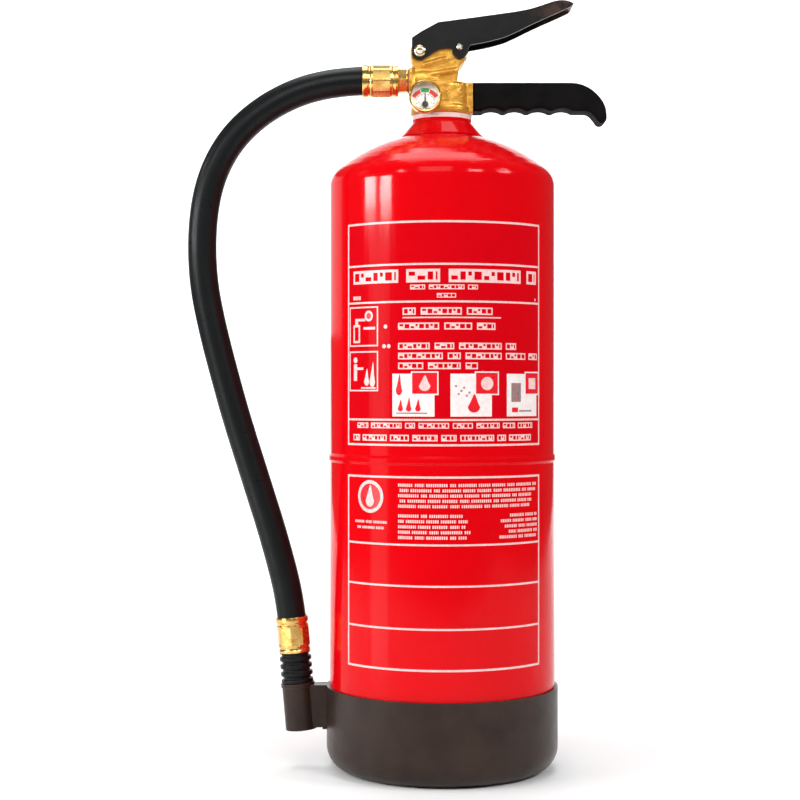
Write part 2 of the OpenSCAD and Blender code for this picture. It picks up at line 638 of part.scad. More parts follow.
module gauge_frame() {
    valve_frame() translate([gauge_at[0], 0, gauge_at[1]]) rotate([90, 0, 0]) children();
}
module gauge_case() color("gold") gauge_frame() difference() {
    union() {
        translate([0, 0, gauge_back - 8]) cylinder(r = gauge_thread_r - slip, h = 9);
        translate([0, 0, gauge_back + 0.5]) cylinder(r = gauge_r, h = gauge_depth - 0.5);
    }
    translate([0, 0, gauge_back + 1.4]) cylinder(r = gauge_r - gauge_wall, h = gauge_depth);
    translate([0, 0, gauge_back - 9]) cylinder(r = 1.2, h = 12);
}
module gauge_washer() color("chocolate") gauge_frame() translate([0, 0, gauge_back])
    tube(gauge_thread_r + 2, gauge_thread_r, 0.5);
module gauge_bezel() color("gold") gauge_frame() translate([0, 0, gauge_back + gauge_depth])
    tube(gauge_r, gauge_r - gauge_wall - bezel_lip, bezel_h);
module gauge_dial() color("white") gauge_frame() translate([0, 0, dial_at]) difference() {
    cylinder(r = gauge_r - gauge_wall - seat_gap, h = dial_t);
    translate([0, -needle_drop, -cut]) cylinder(r = 0.8, h = 3);
}
module gauge_lens() color("white", 0.3) gauge_frame()
    translate([0, 0, gauge_back + gauge_depth - lens_t - slip])
        cylinder(r = gauge_r - gauge_wall - slip, h = lens_t);
needle_at = dial_at + dial_t + side_gap;
module gauge_needle() color("#1c1c1e") gauge_frame() translate([0, -needle_drop, needle_at]) {
    cylinder(r = 2.1, h = 1.2);
    translate([0, 0, -dial_t - 2 * side_gap]) cylinder(r = 0.6, h = 2);
    linear_extrude(height = 0.5)
        polygon([[-0.55, 0], [0.55, 0], [0.2, needle_l], [-0.2, needle_l]]);
}
module bourdon_tube() color("goldenrod") gauge_frame() translate([0, 0, gauge_back + 2])
    rotate([0, 0, -50]) rotate_extrude(angle = 280) translate([5.5, 0]) circle(r = 0.5, $fn = 24);

lower_shell();
upper_shell();
girth_weld();
neck_ring();
powder_charge();
base_boot();
nozzle_holder();
neck_seal();
valve_body();
spring_plug();
dip_tube();
valve_spring();
valve_stem();
stem_seal();
stem_oring();
pivot_rivet();
squeeze_lever();
safety_pin();
handle_tang();
tang_dowel();
carry_grip();
outlet_adaptor();
outlet_washer();
outlet_ferrule();
hose();
nozzle_ferrule();
nozzle_nipple();
nozzle_body();
gauge_case();
gauge_bezel();
gauge_dial();
gauge_needle();
gauge_lens();
bourdon_tube();
gauge_washer();
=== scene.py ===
# Powder fire extinguisher: painted cylinder, forged brass valve, hose, gauge and label.
import math

import bpy
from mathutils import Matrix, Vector


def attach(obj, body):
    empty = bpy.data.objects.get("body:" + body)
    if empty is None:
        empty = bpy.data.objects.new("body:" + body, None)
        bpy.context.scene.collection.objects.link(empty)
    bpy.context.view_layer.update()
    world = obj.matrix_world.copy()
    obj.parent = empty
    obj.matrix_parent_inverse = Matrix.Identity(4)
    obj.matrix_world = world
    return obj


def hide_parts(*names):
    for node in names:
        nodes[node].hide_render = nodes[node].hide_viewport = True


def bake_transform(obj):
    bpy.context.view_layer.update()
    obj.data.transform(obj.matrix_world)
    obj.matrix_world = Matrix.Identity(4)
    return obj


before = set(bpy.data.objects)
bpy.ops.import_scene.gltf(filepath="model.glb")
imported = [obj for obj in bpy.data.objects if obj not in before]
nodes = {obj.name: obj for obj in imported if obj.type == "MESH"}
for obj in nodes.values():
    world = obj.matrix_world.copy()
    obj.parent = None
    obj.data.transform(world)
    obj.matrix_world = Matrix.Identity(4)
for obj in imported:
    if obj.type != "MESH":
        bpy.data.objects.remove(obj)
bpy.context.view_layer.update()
MM = 0.001
DEG = math.pi / 180

# Fixed places, in metres, as in the CAD source.
VALVE_Z = 0.43438
OUTLET_Z = VALVE_Z + 0.0235
PIVOT = (-0.015, VALVE_Z + 0.0416)
GAUGE = (-0.0116, VALVE_Z + 0.0092)
DIAL_FRONT = 0.02255
BEZEL_SEAT = 0.0272
NEEDLE_DROP = 0.0048
CYLINDER_R = 0.075
CUP = (-0.0964, 0.0566)
CUP_TILT = 5 * DEG
NOZZLE_LENGTH = 0.020
HOSE_R = 0.0096
INK_THICK = 0.00003


# ---------------------------------------------------------------- camera

bpy.ops.object.select_all(action="DESELECT")
bpy.ops.object.camera_add(location=(-0.02807, -1.173, 0.2495), rotation=(90 * DEG, 0, 0))
camera = bpy.context.object
camera.name = "front_camera"
camera.data.lens = 79
camera.data.sensor_width = 36
camera.data.shift_y = -0.0084
bpy.context.scene.camera = camera


# ---------------------------------------------------------------- working by hand

def clear_selection():
    if bpy.context.object and bpy.context.object.mode != "OBJECT":
        bpy.ops.object.mode_set(mode="OBJECT")
    bpy.ops.object.select_all(action="DESELECT")


def take(piece):
    clear_selection()
    piece.select_set(True)
    bpy.context.view_layer.objects.active = piece


def settle(piece):
    """Puts the piece's place into its mesh."""
    take(piece)
    bpy.ops.object.transform_apply(location=True, rotation=True, scale=True)
    return piece


def place(piece, rotation=(0, 0, 0), location=(0, 0, 0)):
    piece.rotation_euler = rotation
    piece.location = location
    return settle(piece)


def named(name):
    piece = bpy.context.object
    piece.name = name
    piece.data.name = name
    return piece


def edit(piece, mode="FACE"):
    take(piece)
    bpy.ops.object.mode_set(mode="EDIT")
    bpy.ops.mesh.select_mode(type=mode)
    bpy.ops.mesh.select_all(action="DESELECT")


def done():
    bpy.ops.object.mode_set(mode="OBJECT")


def tidy_mesh(piece):
    edit(piece)
    bpy.ops.mesh.select_all(action="SELECT")
    bpy.ops.mesh.remove_doubles(threshold=1e-6)
    bpy.ops.mesh.normals_make_consistent(inside=False)
    done()


def modify(piece, kind, **settings):
    take(piece)
    modifier = piece.modifiers.new(kind.title(), kind)
    for key, value in settings.items():
        setattr(modifier, key, value)
    bpy.ops.object.modifier_apply(modifier=modifier.name)
    return piece


def smooth(piece, angle=35):
    """Smooth shading with sharp edges kept and large flat faces shown flat."""
    take(piece)
    bpy.ops.object.shade_smooth_by_angle(angle=angle * DEG)
    return modify(piece, "WEIGHTED_NORMAL", weight=100, keep_sharp=True)


def round_edges(piece, width, segments, sharpness, wanted):
    """Rounds the sharp edges whose middle passes the test."""
    edit(piece, "EDGE")
    bpy.ops.mesh.edges_select_sharp(sharpness=sharpness * DEG)
    done()
    points = piece.data.vertices
    for side in piece.data.edges:
        a, b = (points[i].co for i in side.vertices)
        side.select = side.select and bool(wanted((a + b) / 2))
    bpy.ops.object.mode_set(mode="EDIT")
    bpy.ops.mesh.bevel(offset=width, segments=segments, affect="EDGES", clamp_overlap=True)
    done()


def turned(name, outline, steps=64, angle=360, start=0):
    """Turns an outline of (radius, height) points in metres about the Z axis."""
    clear_selection()
    bpy.ops.mesh.primitive_plane_add(size=0.001, location=(outline[0][0], 0, outline[0][1]))
    piece = named(name)
    settle(piece)
    edit(piece, "VERT")
    bpy.ops.mesh.select_all(action="SELECT")
    bpy.ops.mesh.merge(type="CENTER")
    for (r0, z0), (r1, z1) in zip(outline, outline[1:]):
        bpy.ops.mesh.extrude_vertices_move(TRANSFORM_OT_translate={"value": (r1 - r0, 0, z1 - z0)})
    bpy.ops.mesh.select_all(action="SELECT")
    bpy.ops.mesh.spin(steps=steps, angle=angle * DEG, center=(0, 0, 0), axis=(0, 0, 1))
    done()
    tidy_mesh(piece)
    if start:
        place(piece, rotation=(0, 0, start * DEG))
    return piece


def block(name, size, at):
    clear_selection()
    bpy.ops.mesh.primitive_cube_add(size=1, location=at, scale=size)
    return settle(named(name))


def rod(name, radius, length, at, turn, sides=48):
    clear_selection()
    bpy.ops.mesh.primitive_cylinder_add(vertices=sides, radius=radius, depth=length,
                                        location=at, rotation=turn)
    return settle(named(name))


def join(piece, others):
    take(piece)
    for other in others:
        other.select_set(True)
    bpy.ops.object.join()
    return piece


def from_node(name, node, edge=0.0, segments=2, limit=40):
    """A worked copy of a CAD piece: welded, flat faces made whole, and its edges rounded."""
    piece = nodes[node].copy()
    piece.data = nodes[node].data.copy()
    bpy.context.collection.objects.link(piece)
    piece.parent = None
    piece.name = name
    piece.data.name = name
    for key in list(piece.keys()):
        del piece[key]
    take(piece)
    piece.data.materials.clear()
    if piece.data.has_custom_normals:
        bpy.ops.mesh.customdata_custom_splitnormals_clear()
    edit(piece)
    bpy.ops.mesh.select_all(action="SELECT")
    bpy.ops.mesh.remove_doubles(threshold=1e-6)
    bpy.ops.mesh.dissolve_limited(angle_limit=0.5 * DEG)
    done()
    if edge:
        modify(piece, "BEVEL", width=edge, segments=segments, limit_method="ANGLE",
               angle_limit=limit * DEG, use_clamp_overlap=True, harden_normals=False)
    return piece


def cut_away(piece, tool, operation="DIFFERENCE"):
    """Cuts a tool out of a piece, or welds it on, and takes the tool away."""
    take(piece)
    cutter = piece.modifiers.new("Cut", "BOOLEAN")
    cutter.operation = operation
    cutter.object = tool
    cutter.solver = "EXACT"
    bpy.ops.object.modifier_apply(modifier=cutter.name)
    bpy.data.objects.remove(tool, do_unlink=True)


def give(piece, material):
    piece.data.materials.clear()
    piece.data.materials.append(material)


def mount(piece, body, material, replaced=()):
    give(piece, material)
    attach(piece, body)
    if replaced:
        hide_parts(*replaced)


# ---------------------------------------------------------------- hose

def smooth_line(points, share=5):
    """More points along the same route, on one smooth curve through them."""
    line = []
    for i in range(len(points) - 1):
        a, b = points[max(i - 1, 0)], points[i]
        c, d = points[i + 1], points[min(i + 2, len(points) - 1)]
        for k in range(share):
            t = k / share
            line.append(0.5 * (2 * b + (c - a) * t + (2 * a - 5 * b + 4 * c - d) * t * t
                               + (3 * b - a - 3 * c + d) * t * t * t))
    return line + [points[-1]]


ROUTE = [(-31, 458), (-42, 458), (-54, 458), (-67, 457), (-80, 455), (-93, 451.5), (-106, 446),
         (-118, 439), (-129, 430.5), (-139, 420), (-147, 408), (-153, 395), (-157, 381),
         (-159.3, 366), (-160.2, 350), (-159.8, 334), (-158, 317), (-154.5, 299), (-150, 280),
         (-145, 261), (-139.5, 241), (-133.5, 221), (-127.5, 202), (-121.5, 183), (-115.5, 164),
         (-110, 145), (-105.5, 128), (-102.5, 114), (-100.4, 100), (-99.4, 89), (-98.4, 78.8)]
line = smooth_line([Vector((x * MM, 0, z * MM)) for x, z in ROUTE])


def make_hose():
    shape = bpy.data.curves.new("hose_line", "CURVE")
    shape.dimensions = "3D"
    shape.bevel_depth = HOSE_R
    shape.bevel_resolution = 10
    shape.use_fill_caps = True
    spline = shape.splines.new("POLY")
    spline.points.add(len(line) - 1)
    for point, at in zip(spline.points, line):
        point.co = (*at, 1)
    piece = bpy.data.objects.new("rubber_hose", shape)
    bpy.context.collection.objects.link(piece)
    take(piece)
    bpy.ops.object.convert(target="MESH")
    piece = named("rubber_hose")
    tidy_mesh(piece)
    take(piece)
    bpy.ops.object.shade_smooth()
    return piece


hose = make_hose()
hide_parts("hose")
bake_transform(hose)


# ---------------------------------------------------------------- shared effects

def new_group(name, inputs, outputs):
    group = bpy.data.node_groups.new(name, "ShaderNodeTree")
    for label, value in inputs:
        socket = group.interface.new_socket(label, in_out="INPUT", socket_type="NodeSocketFloat")
        socket.default_value = value
    for label, kind in outputs:
        group.interface.new_socket(label, in_out="OUTPUT", socket_type=kind)
    return group, group.nodes.new("NodeGroupInput"), group.nodes.new("NodeGroupOutput")


def node(tree, kind, **settings):
    made = tree.nodes.new(kind)
    for key, value in settings.items():
        setattr(made, key, value)
    return made


def maths(tree, operation, first, second, clamp=False):
    made = node(tree, "ShaderNodeMath", operation=operation, use_clamp=clamp)
    for socket, value in zip(made.inputs, (first, second)):
        if isinstance(value, (int, float)):
            socket.default_value = value
        else:
            tree.links.new(value, socket)
    return made.outputs[0]


def spread(tree, value, low, high, to_low=0.0, to_high=1.0):
    made = node(tree, "ShaderNodeMapRange")
    tree.links.new(value, made.inputs["Value"])
    for label, number in (("From Min", low), ("From Max", high),
                          ("To Min", to_low), ("To Max", to_high)):
        made.inputs[label].default_value = number
    return made.outputs["Result"]


def cloud(tree, scale, detail=4.0, rough=0.55, vector=None):
    made = node(tree, "ShaderNodeTexNoise")
    made.inputs["Detail"].default_value = detail
    made.inputs["Roughness"].default_value = rough
    if isinstance(scale, (int, float)):
        made.inputs["Scale"].default_value = scale
    else:
        tree.links.new(scale, made.inputs["Scale"])
    if vector is None:
        vector = node(tree, "ShaderNodeTexCoord").outputs["Object"]
    tree.links.new(vector, made.inputs["Vector"])
    return made.outputs["Fac"]


def stretched(tree, factors):
    made = node(tree, "ShaderNodeMapping")
    tree.links.new(node(tree, "ShaderNodeTexCoord").outputs["Object"], made.inputs["Vector"])
    made.inputs["Scale"].default_value = factors
    return made.outputs["Vector"]


def make_uneven_tone():
    group, given, out = new_group("Uneven tone", [("Scale", 60.0), ("Contrast", 1.0)],
                                  [("Tone", "NodeSocketFloat")])
    fine = cloud(group, given.outputs["Scale"], 6.0, 0.6)
    centred = maths(group, "SUBTRACT", fine, 0.5)
    wide = maths(group, "MULTIPLY", centred, given.outputs["Contrast"])
    group.links.new(maths(group, "ADD", maths(group, "MULTIPLY", wide, 3.0), 0.5, True),
                    out.inputs["Tone"])
    return group


def make_fine_grain():
    group, given, out = new_group("Fine grain", [("Scale", 900.0), ("Depth", 0.00002),
                                                 ("Wave Scale", 60.0), ("Wave Depth", 0.0)],
                                  [("Normal", "NodeSocketVector")])
    bump = node(group, "ShaderNodeBump")
    bump.inputs["Strength"].default_value = 1.0
    bump.inputs["Distance"].default_value = 1.0
    fine = maths(group, "MULTIPLY", cloud(group, given.outputs["Scale"], 3.0, 0.5),
                 given.outputs["Depth"])
    waves = maths(group, "MULTIPLY", cloud(group, given.outputs["Wave Scale"], 2.0, 0.45),
                  given.outputs["Wave Depth"])
    group.links.new(maths(group, "ADD", fine, waves), bump.inputs["Height"])
    group.links.new(bump.outputs["Normal"], out.inputs["Normal"])
    return group


def make_worn_edges():
    group, given, out = new_group("Worn edges", [("Width", 0.0008), ("Amount", 1.0)],
                                  [("Mask", "NodeSocketFloat")])
    rounded = node(group, "ShaderNodeBevel", samples=4)
    group.links.new(given.outputs["Width"], rounded.inputs["Radius"])
    compare = node(group, "ShaderNodeVectorMath", operation="DOT_PRODUCT")
    group.links.new(rounded.outputs["Normal"], compare.inputs[0])
    group.links.new(node(group, "ShaderNodeNewGeometry").outputs["Normal"], compare.inputs[1])
    edge = spread(group, compare.outputs["Value"], 0.985, 0.86)
    broken = spread(group, cloud(group, 420.0, 5.0, 0.7), 0.42, 0.6)
    both = maths(group, "MULTIPLY", edge, broken, True)
    group.links.new(maths(group, "MULTIPLY", both, given.outputs["Amount"], True),
                    out.inputs["Mask"])
    return group


def make_rub_marks():
    group, given, out = new_group("Rub marks", [("Scale", 30.0), ("Amount", 0.5)],
                                  [("Mask", "NodeSocketFloat")])
    along = cloud(group, given.outputs["Scale"], 8.0, 0.75, stretched(group, (1.0, 1.0, 14.0)))
    across = cloud(group, given.outputs["Scale"], 8.0, 0.75, stretched(group, (9.0, 9.0, 0.8)))
    lines = maths(group, "MAXIMUM", spread(group, along, 0.64, 0.72),
                  spread(group, across, 0.66, 0.74))
    patches = spread(group, cloud(group, 11.0, 2.0), 0.45, 0.65)
    marks = maths(group, "MULTIPLY", lines, patches)
    group.links.new(maths(group, "MULTIPLY", marks, given.outputs["Amount"], True),
                    out.inputs["Mask"])
    return group


def make_settled_dust():
    group, given, out = new_group("Settled dust", [("Amount", 0.3)],
                                  [("Mask", "NodeSocketFloat")])
    parts = node(group, "ShaderNodeSeparateXYZ")
    group.links.new(node(group, "ShaderNodeNewGeometry").outputs["Normal"], parts.inputs[0])
    upward = spread(group, parts.outputs["Z"], 0.35, 1.0)
    specks = spread(group, cloud(group, 260.0, 8.0, 0.75), 0.45, 0.7)
    both = maths(group, "MULTIPLY", upward, specks)
    group.links.new(maths(group, "MULTIPLY", both, given.outputs["Amount"], True),
                    out.inputs["Mask"])
    return group


UNEVEN_TONE = make_uneven_tone()
FINE_GRAIN = make_fine_grain()
WORN_EDGES = make_worn_edges()
RUB_MARKS = make_rub_marks()
SETTLED_DUST = make_settled_dust()


def effect(tree, group, **values):
    made = node(tree, "ShaderNodeGroup", node_tree=group)
    for key, value in values.items():
        made.inputs[key].default_value = value
    return made


def blend_colour(tree, mask, below, above):
    made = node(tree, "ShaderNodeMix", data_type="RGBA")
    tree.links.new(mask, made.inputs["Factor"])
    for socket, value in ((made.inputs["A"], below), (made.inputs["B"], above)):
        if isinstance(value, tuple):
            socket.default_value = (*value, 1.0)
        else:
            tree.links.new(value, socket)
    return made.outputs["Result"]


def finish_of(name, light, dark, rough, metallic=0.0, tone=(60.0, 1.0), grain=(900.0, 0.00002),
              waves=(60.0, 0.0), coat=0.0, coat_rough=0.05, marks=0.0, marks_colour=None, worn=0.0,
              worn_colour=(0.5, 0.5, 0.5), worn_metal=1.0, worn_width=0.0008, dust=0.0,
              specular=0.5):
    """Uneven tone and grain, and where wanted a clear coat, rub marks, worn edges and dust."""
    material = bpy.data.materials.new(name)
    material.use_nodes = True
    tree = material.node_tree
    shader = tree.nodes["Principled BSDF"]
    shader.inputs["Coat Weight"].default_value = coat
    shader.inputs["Coat Roughness"].default_value = coat_rough
    shader.inputs["Specular IOR Level"].default_value = specular
    shader.inputs["Metallic"].default_value = metallic
    tones = effect(tree, UNEVEN_TONE, Scale=tone[0], Contrast=tone[1]).outputs["Tone"]
    colour = blend_colour(tree, tones, dark, light)
    roughness = spread(tree, tones, 0.0, 1.0, rough[1], rough[0])
    if marks:
        mask = effect(tree, RUB_MARKS, Scale=30.0, Amount=marks).outputs["Mask"]
        colour = blend_colour(tree, mask, colour, marks_colour or light)
        roughness = maths(tree, "ADD", roughness, maths(tree, "MULTIPLY", mask, 0.25), True)
    if worn:
        mask = effect(tree, WORN_EDGES, Width=worn_width, Amount=worn).outputs["Mask"]
        colour = blend_colour(tree, mask, colour, worn_colour)
        if worn_metal != metallic:
            tree.links.new(spread(tree, mask, 0.0, 1.0, metallic, worn_metal),
                           shader.inputs["Metallic"])
    if dust:
        mask = effect(tree, SETTLED_DUST, Amount=dust).outputs["Mask"]
        colour = blend_colour(tree, mask, colour, (0.45, 0.42, 0.38))
        roughness = maths(tree, "ADD", roughness, maths(tree, "MULTIPLY", mask, 0.4), True)
    tree.links.new(colour, shader.inputs["Base Color"])
    tree.links.new(roughness, shader.inputs["Roughness"])
    if grain:
        made = effect(tree, FINE_GRAIN, **{"Scale": grain[0], "Depth": grain[1],
                                           "Wave Scale": waves[0], "Wave Depth": waves[1]})
        tree.links.new(made.outputs["Normal"], shader.inputs["Normal"])
    return material


red_enamel = finish_of("red_enamel", (0.66, 0.001, 0.004), (0.60, 0.001, 0.004), (0.08, 0.13),
                       tone=(22.0, 0.7), grain=(500.0, 0.00001), waves=(26.0, 0.00012),
                       specular=0.12, marks=0.06, marks_colour=(0.80, 0.06, 0.06), dust=0.06)
forged_brass = finish_of("forged_brass", (0.78, 0.40, 0.055), (0.56, 0.25, 0.025), (0.26, 0.46),
                         metallic=0.6, tone=(150.0, 1.2), grain=(1100.0, 0.00004),
                         waves=(230.0, 0.0004), worn=0.6, worn_colour=(0.95, 0.66, 0.28),
                         worn_width=0.0009)
turned_brass = finish_of("turned_brass", (0.86, 0.58, 0.19), (0.64, 0.36, 0.09), (0.16, 0.32),
                         metallic=0.95, tone=(170.0, 1.0), grain=(1400.0, 0.00002),
                         marks=0.35, marks_colour=(0.42, 0.20, 0.05))
inner_brass = finish_of("inner_brass", (0.78, 0.52, 0.20), (0.62, 0.38, 0.12), (0.3, 0.45),
                        metallic=0.9, tone=(200.0, 0.8), grain=(1500.0, 0.00002))
bright_steel = finish_of("bright_steel", (0.80, 0.78, 0.72), (0.58, 0.55, 0.50), (0.16, 0.32),
                         metallic=1.0, tone=(220.0, 1.0), grain=(1500.0, 0.00001),
                         marks=0.3, marks_colour=(0.35, 0.33, 0.30))
rivet_metal = finish_of("rivet_metal", (0.90, 0.80, 0.58), (0.66, 0.52, 0.30), (0.18, 0.34),
                        metallic=1.0, tone=(300.0, 1.0), grain=(1800.0, 0.00002))
grip_plastic = finish_of("grip_plastic", (0.008, 0.007, 0.007), (0.005, 0.005, 0.005), (0.56, 0.70),
                         tone=(120.0, 1.0), grain=(2200.0, 0.00006), marks=0.2, specular=0.02,
                         marks_colour=(0.03, 0.028, 0.026), dust=0.06)
nozzle_plastic = finish_of("nozzle_plastic", (0.008, 0.009, 0.010), (0.005, 0.005, 0.006),
                           (0.28, 0.40), tone=(140.0, 1.0), grain=(1800.0, 0.00004), specular=0.15,
                           worn=0.35, worn_colour=(0.06, 0.06, 0.06), worn_metal=0.0, dust=0.06)
boot_plastic = finish_of("boot_plastic", (0.034, 0.019, 0.013), (0.020, 0.011, 0.008), (0.28, 0.40),
                         tone=(35.0, 1.1), grain=(1300.0, 0.00003), specular=0.22,
                         marks=0.35, marks_colour=(0.09, 0.07, 0.055), worn=0.35,
                         worn_colour=(0.16, 0.12, 0.10), worn_metal=0.0, dust=0.06)
# Painted reflection: a pinkish white seal where the neck ring's top edge reflects the pale room.
seal_painted_reflection = finish_of("seal_painted_reflection", (0.86, 0.70, 0.66), (0.70, 0.50, 0.46), (0.45, 0.6),
                      tone=(140.0, 1.0), grain=(900.0, 0.00003))
dark_rubber = finish_of("dark_rubber", (0.020, 0.020, 0.020), (0.012, 0.012, 0.012), (0.5, 0.65),
                        tone=(200.0, 1.0), grain=(1600.0, 0.00003))
brown_fibre = finish_of("brown_fibre", (0.42, 0.16, 0.07), (0.28, 0.10, 0.04), (0.6, 0.8),
                        tone=(400.0, 1.2), grain=(1800.0, 0.00004))
powder = finish_of("packed_powder", (0.88, 0.86, 0.66), (0.78, 0.75, 0.54), (0.8, 0.95),
                   tone=(90.0, 1.0), grain=(2600.0, 0.0001))
tube_plastic = finish_of("tube_plastic", (0.85, 0.84, 0.78), (0.74, 0.72, 0.64), (0.3, 0.42),
                         tone=(60.0, 0.8), grain=(900.0, 0.00001))
dial_white = finish_of("dial_white", (0.90, 0.88, 0.84), (0.82, 0.79, 0.74), (0.35, 0.5),
                       tone=(500.0, 0.7), grain=(3000.0, 0.00001))
dial_red = finish_of("dial_red", (0.75, 0.03, 0.03), (0.60, 0.02, 0.02), (0.35, 0.5),
                     tone=(700.0, 0.8), grain=None)
dial_green = finish_of("dial_green", (0.03, 0.36, 0.06), (0.02, 0.26, 0.04), (0.35, 0.5),
                       tone=(700.0, 0.8), grain=None)
dial_black = finish_of("dial_black", (0.035, 0.022, 0.018), (0.020, 0.013, 0.011), (0.35, 0.5),
                       tone=(700.0, 0.8), grain=None)
white_ink = finish_of("white_ink", (0.86, 0.62, 0.60), (0.78, 0.44, 0.43), (0.30, 0.42),
                      tone=(420.0, 1.0), grain=(1200.0, 0.00001), coat=0.4, coat_rough=0.08)
tile_ink = finish_of("tile_ink", (0.86, 0.80, 0.78), (0.78, 0.68, 0.67), (0.30, 0.42),
                     tone=(300.0, 1.2), grain=(1200.0, 0.00001), coat=0.4, coat_rough=0.08)
red_ink = finish_of("red_ink", (0.78, 0.004, 0.014), (0.68, 0.003, 0.010), (0.25, 0.36),
                    tone=(300.0, 0.8), grain=None, coat=0.4, coat_rough=0.08)
row_ink = finish_of("row_ink", (0.59, 0.001, 0.006), (0.54, 0.001, 0.005), (0.08, 0.13),
                    tone=(22.0, 0.7), grain=(500.0, 0.00001), waves=(26.0, 0.00012), specular=0.12)
grey_ink = finish_of("grey_ink", (0.34, 0.20, 0.20), (0.24, 0.13, 0.13), (0.3, 0.42),
                     tone=(500.0, 1.0), grain=None, coat=0.4, coat_rough=0.08)


def make_lever_enamel():
    """Black enamel, with a painted brownish sheen in patches near the lever's tip."""
    material = finish_of("black_enamel", (0.009, 0.008, 0.008), (0.005, 0.005, 0.005), (0.28, 0.40),
                         tone=(90.0, 1.0), grain=(700.0, 0.00004), specular=0.18,
                         marks=0.25, marks_colour=(0.035, 0.034, 0.032), worn=0.5,
                         worn_colour=(0.30, 0.24, 0.20), worn_width=0.0005, dust=0.06)
    tree = material.node_tree
    shader = tree.nodes["Principled BSDF"]
    black = shader.inputs["Base Color"].links[0].from_socket
    parts = node(tree, "ShaderNodeSeparateXYZ")
    tree.links.new(node(tree, "ShaderNodeTexCoord").outputs["Object"], parts.inputs[0])
    near_tip = spread(tree, parts.outputs["X"], 0.056, 0.088)
    patchy = spread(tree, cloud(tree, 130.0, 5.0, 0.65), 0.40, 0.60)
    painted_sheen_near_tip = maths(tree, "MULTIPLY", near_tip, patchy)
    # Painted sheen: brown patches near the tip stand in for a reflection on the black enamel.
    tree.links.new(blend_colour(tree, painted_sheen_near_tip, black, (0.085, 0.045, 0.033)),
                   shader.inputs["Base Color"])
    return material


def make_hose_rubber():
    """Smooth black cover with a faint bump of wavy level bands and fine grain."""
    material = finish_of("hose_rubber", (0.008, 0.009, 0.010), (0.005, 0.006, 0.006), (0.26, 0.38),
                         tone=(80.0, 1.0), grain=None, marks=0.25, specular=0.15,
                         marks_colour=(0.03, 0.03, 0.03), dust=0.05)
    tree = material.node_tree
    wave = node(tree, "ShaderNodeTexWave", wave_type="BANDS", bands_direction="Z")
    wave.inputs["Scale"].default_value = 130.0
    wave.inputs["Distortion"].default_value = 1.5
    tree.links.new(node(tree, "ShaderNodeTexCoord").outputs["Object"], wave.inputs["Vector"])
    rough = cloud(tree, 1500.0, 3.0)
    height = maths(tree, "ADD", maths(tree, "MULTIPLY", wave.outputs["Fac"], 0.25), rough)
    bump = node(tree, "ShaderNodeBump")
    bump.inputs["Distance"].default_value = 0.00004
    tree.links.new(height, bump.inputs["Height"])
    tree.links.new(bump.outputs["Normal"], tree.nodes["Principled BSDF"].inputs["Normal"])
    return material


def make_window_plastic():
    material = finish_of("window_plastic", (0.97, 0.98, 0.98), (0.93, 0.95, 0.95), (0.03, 0.08),
                         tone=(120.0, 0.8), grain=None)
    tree = material.node_tree
    shader = tree.nodes["Principled BSDF"]
    shader.inputs["Transmission Weight"].default_value = 1.0
    shader.inputs["IOR"].default_value = 1.46
    open_light = node(tree, "ShaderNodeMixShader")
    tree.links.new(node(tree, "ShaderNodeLightPath").outputs["Is Shadow Ray"], open_light.inputs[0])
    tree.links.new(shader.outputs[0], open_light.inputs[1])
    tree.links.new(node(tree, "ShaderNodeBsdfTransparent").outputs[0], open_light.inputs[2])
    tree.links.new(open_light.outputs[0], tree.nodes["Material Output"].inputs["Surface"])
    return material


black_enamel = make_lever_enamel()
hose_rubber = make_hose_rubber()
window_plastic = make_window_plastic()
give(hose, hose_rubber)

CAD_FINISHES = {
    "lower_shell": red_enamel, "upper_shell": red_enamel, "girth_weld": red_enamel,
    "neck_ring": red_enamel, "powder_charge": powder, "base_boot": boot_plastic,
    "nozzle_holder": boot_plastic, "neck_seal": seal_painted_reflection, "valve_body": forged_brass,
    "spring_plug": inner_brass, "dip_tube": tube_plastic, "valve_spring": bright_steel,
    "valve_stem": bright_steel, "stem_seal": dark_rubber, "stem_oring": dark_rubber,
    "pivot_rivet": rivet_metal, "squeeze_lever": black_enamel, "safety_pin": bright_steel,
    "handle_tang": bright_steel, "tang_dowel": bright_steel, "carry_grip": grip_plastic,
    "outlet_adaptor": turned_brass, "outlet_washer": brown_fibre, "outlet_ferrule": turned_brass,
    "hose": hose_rubber, "nozzle_ferrule": turned_brass, "nozzle_nipple": inner_brass,
    "nozzle_body": nozzle_plastic, "gauge_case": turned_brass, "gauge_bezel": turned_brass,
    "gauge_dial": dial_white, "gauge_needle": dial_black, "gauge_lens": window_plastic,
    "bourdon_tube": inner_brass, "gauge_washer": brown_fibre,
}
for name, material in CAD_FINISHES.items():
    give(nodes[name], material)


# ---------------------------------------------------------------- lever, grip, holder, nozzle

lever = from_node("folded_lever", "squeeze_lever", edge=0.0007)
mount(smooth(lever), "lever", black_enamel, ["squeeze_lever"])

grip = from_node("moulded_grip", "carry_grip")
round_edges(grip, 0.0024, 4, 50, lambda at: at.x > 0.0215 and abs(at.y) > 0.0105)
mount(smooth(grip), "cylinder", grip_plastic, ["carry_grip"])

holder = from_node("clip_on_holder", "nozzle_holder", edge=0.0004)
mount(smooth(holder), "cylinder", boot_plastic, ["nozzle_holder"])

nozzle = from_node("ribbed_nozzle", "nozzle_body", edge=0.0004, segments=3)
mount(smooth(nozzle), "nozzle", nozzle_plastic, ["nozzle_body"])


# ---------------------------------------------------------------- forged valve

